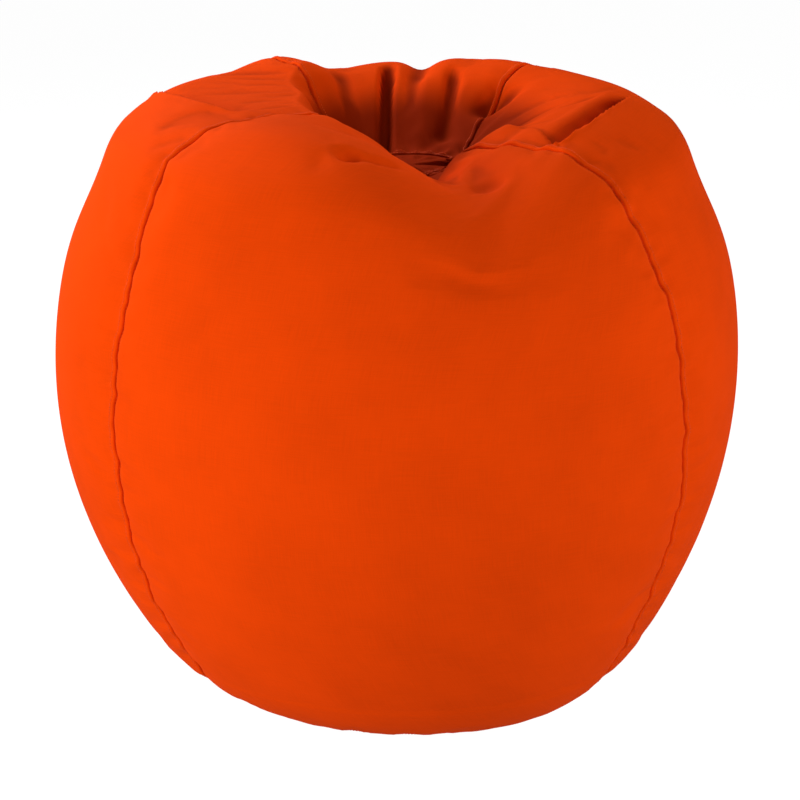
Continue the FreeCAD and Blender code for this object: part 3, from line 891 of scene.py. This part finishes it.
def band_surface(grid, edge, skip_end):
    """The strip of a grid under a band: rows along the edge, columns across the band."""
    lines = [inward(grid, distance, edge) for distance in RAILS]
    rows = even(lines[0], STITCH_PITCH / 3, skip_end)
    surface = np.stack([at_rows(line, rows) for line in lines], axis=1)
    return surface if edge == "left" else surface[:, ::-1]


def band_profile(count, seed):
    """Height of a felled band: rounded edges, a dip along each stitch line, and puckers between stitches."""
    edge = np.minimum(RAILS - RAILS[0], RAILS[-1] - RAILS)
    height = BAND_HEIGHT * (0.45 + 0.55 * step(edge, 0, 1.1))
    along = np.arange(count) * STITCH_PITCH / 3
    pull = 0.5 + 0.5 * np.cos(math.tau * along / STITCH_PITCH)
    profile = np.tile(height, (count, 1))
    for line in STITCH_LINES:
        profile -= (0.25 + 0.2 * pull[:, None]) * bump(RAILS, line, 0.7)
    middle = bump(RAILS, BAND_WIDTH / 2, 3)
    return profile + 0.35 * wander(along, seed)[:, None] * middle


def stitch_points(surface, normals, height):
    """The middle, direction and normal of each stitch in a band's two rows."""
    found = []
    for line in STITCH_LINES:
        column = int(np.argmin(abs(RAILS - line)))
        path = surface[:, column] + normals[:, column] * (height[:, column, None] + STITCH_RISE)
        found.append((path[1::3], np.gradient(path, axis=0)[1::3], normals[1::3, column]))
    return [np.concatenate(parts) for parts in zip(*found)]


STITCH_PROFILE = (
    # place along the stitch, thickness, rise
    (-0.5, 0.3, -0.3),
    (-0.36, 0.9, 0),
    (0, 1, 0.08),
    (0.36, 0.9, 0),
    (0.5, 0.3, -0.3),
)


def stitches(name, middles, directions, normals):
    """One mesh of separate sewn stitches, each a short thread that dips into the cloth at both ends."""
    directions = directions / np.linalg.norm(directions, axis=-1, keepdims=True)
    sideways = np.cross(normals, directions)
    sideways /= np.linalg.norm(sideways, axis=-1, keepdims=True)
    rings = []
    for along, thickness, rise in STITCH_PROFILE:
        radius = STITCH_RADIUS * thickness
        for k in range(STITCH_SIDES):
            angle = math.tau * k / STITCH_SIDES
            point = middles + directions * along * STITCH_LENGTH
            point = point + normals * (rise + radius * math.sin(angle))
            rings.append(point + sideways * radius * math.cos(angle))
    vertices = np.stack(rings, axis=1)
    one = tube_faces(len(STITCH_PROFILE), STITCH_SIDES)
    count = len(STITCH_PROFILE) * STITCH_SIDES
    faces = [[corner + k * count for corner in face] for k in range(len(middles)) for face in one]
    piece = new_object(name, vertices.reshape(-1, 3), faces, THREAD)
    return declare(piece, "orange_twill")


def lay_band(name, surface, seed, node):
    """A felled band on a strip of surface, and the stitches on it."""
    normals = grid_normals(surface)
    height = band_profile(len(surface), seed)
    outer = surface + normals * height[..., None]
    inner = surface + normals * BAND_SOLE
    wear = np.tile(bump(RAILS, 1, 1.5) + bump(RAILS, BAND_WIDTH, 1.5), (len(surface), 1))
    sew(name, node, outer, inner, TWILL, wear=wear)
    stitches(f"{node}_stitches", *stitch_points(surface, normals, height))


for seed, (seam, (gore, edge)) in enumerate(BAND_SIDES.items()):
    lay_band(f"band_{seam}", band_surface(SKINS[gore][0], edge, SEAM_END_GAP), seed, seam)


def ring_strip(grids):
    """A closed strip round the bag from grids whose left edges lie on one ring."""
    lines = []
    for distance in RAILS:
        lines.append(np.concatenate([inward(grid, distance, "left")[:-1] for grid in grids]))
    lines = [np.concatenate([line, line[:1]]) for line in lines]
    reach = lengths(lines[0][None], 1)[0]
    total = reach[-1]
    count = round(total / STITCH_PITCH) * 3
    rows = np.interp(np.arange(count) * total / count, reach, np.arange(len(reach)))
    return np.stack([at_rows(line, rows) for line in lines], axis=1)


def lay_ring(name, strip, seed, node, facing, lift):
    """A felled band round a whole ring, laid on the side that faces the given way."""
    normals = grid_normals(strip.transpose(1, 0, 2), True).transpose(1, 0, 2)
    if np.sign(normals[..., 2].mean()) != facing:
        normals = -normals
    height = band_profile(len(strip), seed) + lift
    outer = strip + normals * height[..., None]
    inner = strip + normals * BAND_SOLE
    rows = [grid.transpose(1, 0, 2) for grid in (outer, inner)]
    if facing > 0:
        rows = [grid[:, ::-1] for grid in rows]
    sew(name, node, *rows, TWILL, wrap=True)
    stitches(f"{node}_stitches", *stitch_points(strip, normals, height))


# a gore's columns, read from the cap's ring outwards
cap_strip = ring_strip([SKINS[gore][0][::-1].transpose(1, 0, 2) for gore in GORES])
lay_ring("band_cap_ring", cap_strip, 21, "cap_ring_seam", 1, 1.0)

# ---- cap

CAP_RINGS, CAP_HOLE = 26, 0.02
CAP_PUCKERS = (17, 11)
CAP_PUCKER, CAP_DOME = 1.1, 2.0


def ring_of(grids, row):
    """The points of one row of all the gores' grids, all the way round."""
    return np.concatenate([grid[row][:-1] for grid in grids])


def skin_ring(row):
    return ring_of([points for points, _ in SKINS.values()], row)


def disc(ring, count):
    """Rings that shrink from a given one to its middle."""
    middle = ring.mean(axis=0)
    share = np.linspace(1, CAP_HOLE, count)[:, None, None]
    return middle + (ring - middle)[None] * share


def cap_grid(drop=0.0):
    """The cap's surface: puckered at its ring, a little domed in the middle."""
    ring = skin_ring(-1)
    middle = ring.mean(axis=0)
    points = disc(ring, CAP_RINGS)
    share = np.linspace(1, CAP_HOLE, CAP_RINGS)[:, None]
    angle = np.arctan2(points[..., 0] - middle[0], points[..., 1] - middle[1])
    many, few = CAP_PUCKERS
    folds = np.sin(angle * many) + 0.5 * np.sin(angle * few + 2)
    points[..., 2] += CAP_PUCKER * folds * bump(share, 0.8, 0.2) * (1 - share) * 4
    points[..., 2] += CAP_DOME * (1 - share ** 2) - drop
    return points


cap_piece = sew("cover_top_cap", "top_cap", cap_grid(), cap_grid(THICKNESS), TWILL, wrap=True)

# ---- base

FLAT_RADIUS = 140.0
SLOT_REACH, SLOT_HALF = 130.0, 22.0  # half the zip opening's length and width
SLOT_CORNERS = (0, 0.05, 0.95, 1)  # shares of the outline
BASE_PUCKERS = (37, 23)
BASE_COLUMNS, BASE_ROWS = 181, 70
FLOOR_GAP = 0.2


def ring_at(ring, turns):
    """Points of a closed ring at turns, in degrees from the front."""
    own = np.degrees(np.arctan2(ring[:, 0], -ring[:, 1]))
    order = np.argsort(own)
    return between(turns, own[order], ring[order], period=360)


def slot_edge(share):
    """Half of the zip opening's outline, from its left end round to its right end."""
    x = np.interp(share, SLOT_CORNERS, (-SLOT_REACH, -SLOT_REACH, SLOT_REACH, SLOT_REACH))
    y = np.interp(share, SLOT_CORNERS, (0, -SLOT_HALF, -SLOT_HALF, 0))
    return np.stack([x, y], axis=-1)


def base_half(ring, front, flat_height):
    """Half of a base panel: rows from its ring in to the zip, resting on the floor or the cloth below."""
    share = np.linspace(0, 1, BASE_COLUMNS)
    turns = -90 + 180 * share if front else 90 + 180 * share
    outer = ring_at(ring, turns)
    edge = slot_edge(share) if front else -slot_edge(share)
    t = np.linspace(0, 1, BASE_ROWS)[:, None, None]
    plan = outer[None, :, :2] * (1 - t) + edge[None] * t
    radius = np.hypot(plan[..., 0], plan[..., 1])
    rim = np.hypot(outer[:, 0], outer[:, 1])[None]
    climb = np.clip((radius - FLAT_RADIUS) / (rim - FLAT_RADIUS), 0, 1) ** 2
    z = flat_height + (outer[:, 2][None] - flat_height) * climb
    angle = np.arctan2(plan[..., 0], -plan[..., 1])
    many, few = BASE_PUCKERS
    folds = np.sin(angle * many) + 0.7 * np.sin(angle * few + 1)
    z = np.maximum(z + 0.7 * folds * climb * (1 - climb) * 3, flat_height)
    return np.concatenate([plan, z[..., None]], axis=-1)


HALVES = {front: base_half(skin_ring(0), front, FLOOR_GAP) for front in (True, False)}
for front, half in HALVES.items():
    node = "base_panel_front_half" if front else "base_panel_back_half"
    above = half + np.array([0, 0, THICKNESS])
    piece = sew(f"cover_{node}", node, half[:, ::-1], above[:, ::-1], TWILL)
base_strip = ring_strip([half.transpose(1, 0, 2) for half in HALVES.values()])
lay_ring("band_base_ring", base_strip, 22, "base_ring_seam", -1, 0.1)

# ---- zips

STRIP_ROWS = 180
STRIP_SECTION = 28
STRIP_ROUNDING = 0.35  # the power that squares the section's corners


def strip(name, node, material, slot, seed):
    """A rounded strip of cloth that fills a node's box, slightly uneven along its length."""
    low, high = (np.array(corner) for corner in box_mm(node))
    middle, half = (low + high) / 2, (high - low) / 2
    x = np.linspace(low[0], high[0], STRIP_ROWS)[:, None]
    angle = np.linspace(0, math.tau, STRIP_SECTION, endpoint=False)[None, :]
    wide = np.sign(np.cos(angle)) * abs(np.cos(angle)) ** STRIP_ROUNDING
    tall = np.sign(np.sin(angle)) * abs(np.sin(angle)) ** STRIP_ROUNDING
    slack = 0.93 + 0.06 * wander(x[:, 0], seed)[:, None]
    y = middle[1] + half[1] * wide * (0.97 + 0.02 * wander(x[:, 0], seed + 1)[:, None])
    z = middle[2] + half[2] * tall * slack
    points = np.stack([x * np.ones_like(y), y, z], axis=-1)
    faces = [face[::-1] for face in tube_faces(STRIP_ROWS, STRIP_SECTION)]
    cloth = np.stack([points[..., 1], points[..., 0], np.zeros(y.shape)], axis=-1)
    piece = new_object(name, points.reshape(-1, 3), faces, material, cloth=cloth.reshape(-1, 3))
    return declare(piece, slot, node)


HARD_PARTS = {
    "zip_teeth_front": NYLON,
    "zip_teeth_back": NYLON,
    "zip_closed_stop": METAL,
    "zip_open_stop": METAL,
    "zip_slider": METAL,
}


def build_zip(layer, prefix, hem_cloth, hem_slot):
    """The zip's hems and tapes as strips of cloth. The CAD's hard parts only get their materials."""
    for seed, end in enumerate(("front", "back")):
        strip(f"{layer}_zip_hem_{end}", f"{prefix}zip_hem_{end}", hem_cloth, hem_slot, 31 + seed)
        strip(f"{layer}_zip_tape_{end}", f"{prefix}zip_tape_{end}", TAPE, "zip_tape", 41 + seed)
    for node, finish in HARD_PARTS.items():
        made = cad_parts[prefix + node]
        made.data.materials.clear()
        made.data.materials.append(finish)


build_zip("cover", "", TWILL, "orange_twill")
build_zip("lining", "liner_", COTTON, "liner_cotton")

HEM_REACH = 128
HEM_LINES = (2.5, 10.5)  # in from the hem's inner edge


def hem_stitches():
    """Two rows of stitches along the underside of each hem of the cover's zip."""
    low = box_mm("zip_hem_back")[0]
    x = np.arange(-HEM_REACH, HEM_REACH, STITCH_PITCH)
    z = np.full_like(x, low[2] + 0.05)
    rows = []
    for side in (-1, 1):
        for line in HEM_LINES:
            rows.append(np.stack([x, np.full_like(x, side * (low[1] + line)), z], axis=-1))
    middles = np.concatenate(rows)
    along = np.tile((1.0, 0, 0), (len(middles), 1))
    down = np.tile((0, 0, -1.0), (len(middles), 1))
    stitches("zip_stitches", middles, along, down)


hem_stitches()

# ---- bar tacks at the cap

TACK_END_GAP = 13.0
TACK_ROWS = 12
TACK_SHARES = (0.22, 0.5, 0.78)
TACK_RISE = 0.25
MIDDLE_RAIL = len(RAILS) // 2


def bar_tacks():
    """Close stitches across each upright band where it meets the cap's ring."""
    found = []
    for gore, edge in BAND_SIDES.values():
        surface = band_surface(SKINS[gore][0], edge, TACK_END_GAP)[-TACK_ROWS:]
        up = grid_normals(surface)[:, MIDDLE_RAIL]
        across = surface[:, -2] - surface[:, 1]
        for share in TACK_SHARES:
            middle = surface[:, 1] + across * share + up * (BAND_HEIGHT + TACK_RISE)
            found.append((middle, across, up))
    stitches("bar_tacks", *[np.concatenate(parts) for parts in zip(*found)])


bar_tacks()

# ---- care label

LABEL_WIDTH, LABEL_THICKNESS = 38.0, 0.4
LABEL_START, LABEL_END = 1.0, 56.0  # up the side from the base seam
LABEL_ROWS, LABEL_COLUMNS = 44, 24
LABEL_TURN = 160.0


def care_label():
    """A blank satin label sewn into the base seam at the back, its free end lifting a little."""
    length = np.linspace(LABEL_START, LABEL_END, LABEL_ROWS)[:, None] * np.ones((1, LABEL_COLUMNS))
    r, _ = side_point(length)
    across = np.linspace(-0.5, 0.5, LABEL_COLUMNS)[None, :] * LABEL_WIDTH
    points = side_surface(LABEL_TURN + np.degrees(across / r), length)
    normals = grid_normals(points)
    free = length / LABEL_END
    lift = 2.2 + 2.0 * free ** 2 + 0.8 * free * np.sin(across / 9)
    outer = points + normals * lift[..., None]
    inner = outer - normals * LABEL_THICKNESS
    piece = sew("blank_care_label", "care_label", outer, inner, SATIN)


care_label()

# ---- liner and fill

LINER_DEPTH, LINER_THICKNESS, FILL_DEPTH = 5.0, 0.5, 7.0
TOP_REACH = 300.0  # inside this radius the liner passes under the cover's folds
LINER_BASE = box_mm("liner_base_front_half")[0][2]
FOLD_CLEARANCE = 3  # rows and columns of the grid searched for the cover's lowest point
CHANNEL_HEIGHT = 6.5


def thinned(points, rows, columns):
    """Fewer rows and columns of a grid, its edges kept."""
    r = np.unique(np.linspace(0, points.shape[0] - 1, rows).astype(int))
    c = np.unique(np.linspace(0, points.shape[1] - 1, columns).astype(int))
    return points[r][:, c]


def inset(points, depth):
    """A surface a depth inside the cover, under its folds and above the liner's base."""
    moved = points - depth * grid_normals(points)
    on_top = step(np.hypot(points[..., 0], points[..., 1]), TOP_REACH, TOP_REACH - 40)
    on_top = on_top * step(points[..., 2], CAP_HEIGHT - 60, CAP_HEIGHT - 30)
    under = nearby(points[..., 2], FOLD_CLEARANCE).min(axis=(2, 3)) - depth
    lower = np.minimum(moved[..., 2], under)
    moved[..., 2] += (lower - moved[..., 2]) * on_top
    moved[..., 2] = np.maximum(moved[..., 2], LINER_BASE + 1)
    return moved


def liner_gores():
    """The liner's gores, and the grids of their outer sides."""
    grids = []
    for gore in GORES:
        points = thinned(SKINS[gore][0], 170, 56)
        outer = inset(points, LINER_DEPTH)
        grids.append(outer)
        inner = inset(points, LINER_DEPTH + LINER_THICKNESS)
        sew(f"lining_{gore}", f"liner_{gore}", outer, inner, COTTON)
    return grids


def liner_ends(grids):
    """The liner's cap and the two halves of its base."""
    cap = disc(ring_of(grids, -1), 14)
    under = cap - np.array([0, 0, LINER_THICKNESS])
    sew("lining_top_cap", "liner_top_cap", cap, under, COTTON, wrap=True)
    for front in (True, False):
        half = base_half(ring_of(grids, 0), front, LINER_BASE)[:, ::-1]
        node = "liner_base_front_half" if front else "liner_base_back_half"
        above = half + np.array([0, 0, LINER_THICKNESS])
        sew(node.replace("liner", "lining"), node, half, above, COTTON)


def bead_fill():
    """The beads as one closed body just inside the liner, with a shallow channel over the zip."""
    grids = [inset(thinned(SKINS[gore][0], 150, 44), FILL_DEPTH) for gore in GORES]
    wall = np.stack([ring_of(grids, row) for row in range(grids[0].shape[0])])
    low = box_mm("bead_fill")[0][2]
    bottom = []
    for share in np.linspace(0.03, 0.97, 30):
        ring = wall[0] * share
        climb = np.clip((share - 0.66) / 0.34, 0, 1) ** 2
        floor = low + 0.3 + (wall[0][:, 2] - low) * climb
        channel = (1 - step(abs(ring[:, 1]), 28, 34)) * (1 - step(abs(ring[:, 0]), 148, 156))
        ring[:, 2] = floor + CHANNEL_HEIGHT * channel * (1 - climb)
        bottom.append(ring)
    middle = wall[-1].mean(axis=0)
    top = [middle + (wall[-1] - middle) * share for share in (0.8, 0.6, 0.4, 0.2, 0.03)]
    rings = np.concatenate([np.stack(bottom), wall, np.stack(top)])
    piece = new_object("bead_filling", rings.reshape(-1, 3), tube_faces(*rings.shape[:2]), BEADS)
    declare(piece, "beads", "bead_fill")


LINING = liner_gores()
liner_ends(LINING)
bead_fill()

# ---- stage, light, camera

SKY_LIGHT = 0.02  # what the room gives from all round
FLOOR_WHITE = 0.98  # how bright the floor is to the camera
FLOOR_GLOW = 0.42  # and how much light it gives the bag
FLOOR_COLOR = 0.12
WHITE = (1, 1, 1, 1)
LIGHTS = (
    # name, turn, elevation, distance, size, power
    ("key", -60, 8, 3.0, 1.1, 56),
    ("side", -84, 20, 2.6, 0.8, 10),
    ("rim", -140, 48, 2.8, 1.0, 66),
    ("front", 15, 15, 3.0, 1.0, 24),
    ("fill", 76, 14, 3.0, 1.2, 40),
)
LIGHT_TARGET = Vector((0, 0, 0.4))
CAMERA_LENS, CAMERA_SENSOR = 94.3, 36
CAMERA_DISTANCE = 2.4
CAMERA_ELEVATION = math.radians(18)
CAMERA_AIM = Vector((0.002, 0, 0.328))


def floor_finish():
    """Pale paint that glows: near white to the camera, dimmer as a light on the bag."""
    paint = Finish("floor_paint", Roughness=0.9, Specular_IOR_Level=0.1)
    paint.set("Base Color", (FLOOR_COLOR, FLOOR_COLOR, FLOOR_COLOR, 1))
    paint.set("Emission Color", WHITE)
    seen = paint.add("LightPath").outputs["Is Camera Ray"]
    paint.set("Emission Strength", paint.spread(seen, FLOOR_GLOW, FLOOR_WHITE))
    return paint.material


def stage():
    bpy.ops.mesh.primitive_plane_add(size=200, location=(0, 0, 0))
    floor = bpy.context.object
    floor.name = "floor"
    floor.data.materials.append(floor_finish())


def studio():
    """A white backdrop to the camera, and a faint even light on the bag."""
    world = bpy.data.worlds.new("studio")
    world.use_nodes = True
    nodes, links = world.node_tree.nodes, world.node_tree.links
    room = nodes["Background"]
    room.inputs["Color"].default_value = WHITE
    room.inputs["Strength"].default_value = SKY_LIGHT
    backdrop = nodes.new("ShaderNodeBackground")
    backdrop.inputs["Color"].default_value = WHITE
    mix = nodes.new("ShaderNodeMixShader")
    path = nodes.new("ShaderNodeLightPath")
    links.new(path.outputs["Is Camera Ray"], mix.inputs["Fac"])
    links.new(room.outputs["Background"], mix.inputs[1])
    links.new(backdrop.outputs["Background"], mix.inputs[2])
    links.new(mix.outputs["Shader"], nodes["World Output"].inputs["Surface"])
    SCENE.world = world
    SCENE.view_settings.view_transform = "Standard"


def light(name, turn, elevation, distance, size, power):
    """A square soft light, aimed at the middle of the bag."""
    x, y = at_turn(math.cos(math.radians(elevation)), turn)
    direction = Vector((float(x), float(y), math.sin(math.radians(elevation))))
    data = bpy.data.lights.new(name, "AREA")
    data.size = size
    data.energy = power
    made = add_object(name, data)
    made.location = LIGHT_TARGET + distance * direction
    made.rotation_euler = (-direction).to_track_quat("-Z", "Y").to_euler()


def camera():
    """The camera looks down at the front, aimed at a point on the axis a little below the middle."""
    data = bpy.data.cameras.new("camera")
    data.lens = CAMERA_LENS
    data.sensor_width = CAMERA_SENSOR
    made = add_object("camera", data)
    back = Vector((0, -math.cos(CAMERA_ELEVATION), math.sin(CAMERA_ELEVATION)))
    made.location = CAMERA_AIM + CAMERA_DISTANCE * back
    made.rotation_euler = (math.pi / 2 - CAMERA_ELEVATION, 0, 0)
    SCENE.camera = made


stage()
studio()
for sizes in LIGHTS:
    light(*sizes)
camera()
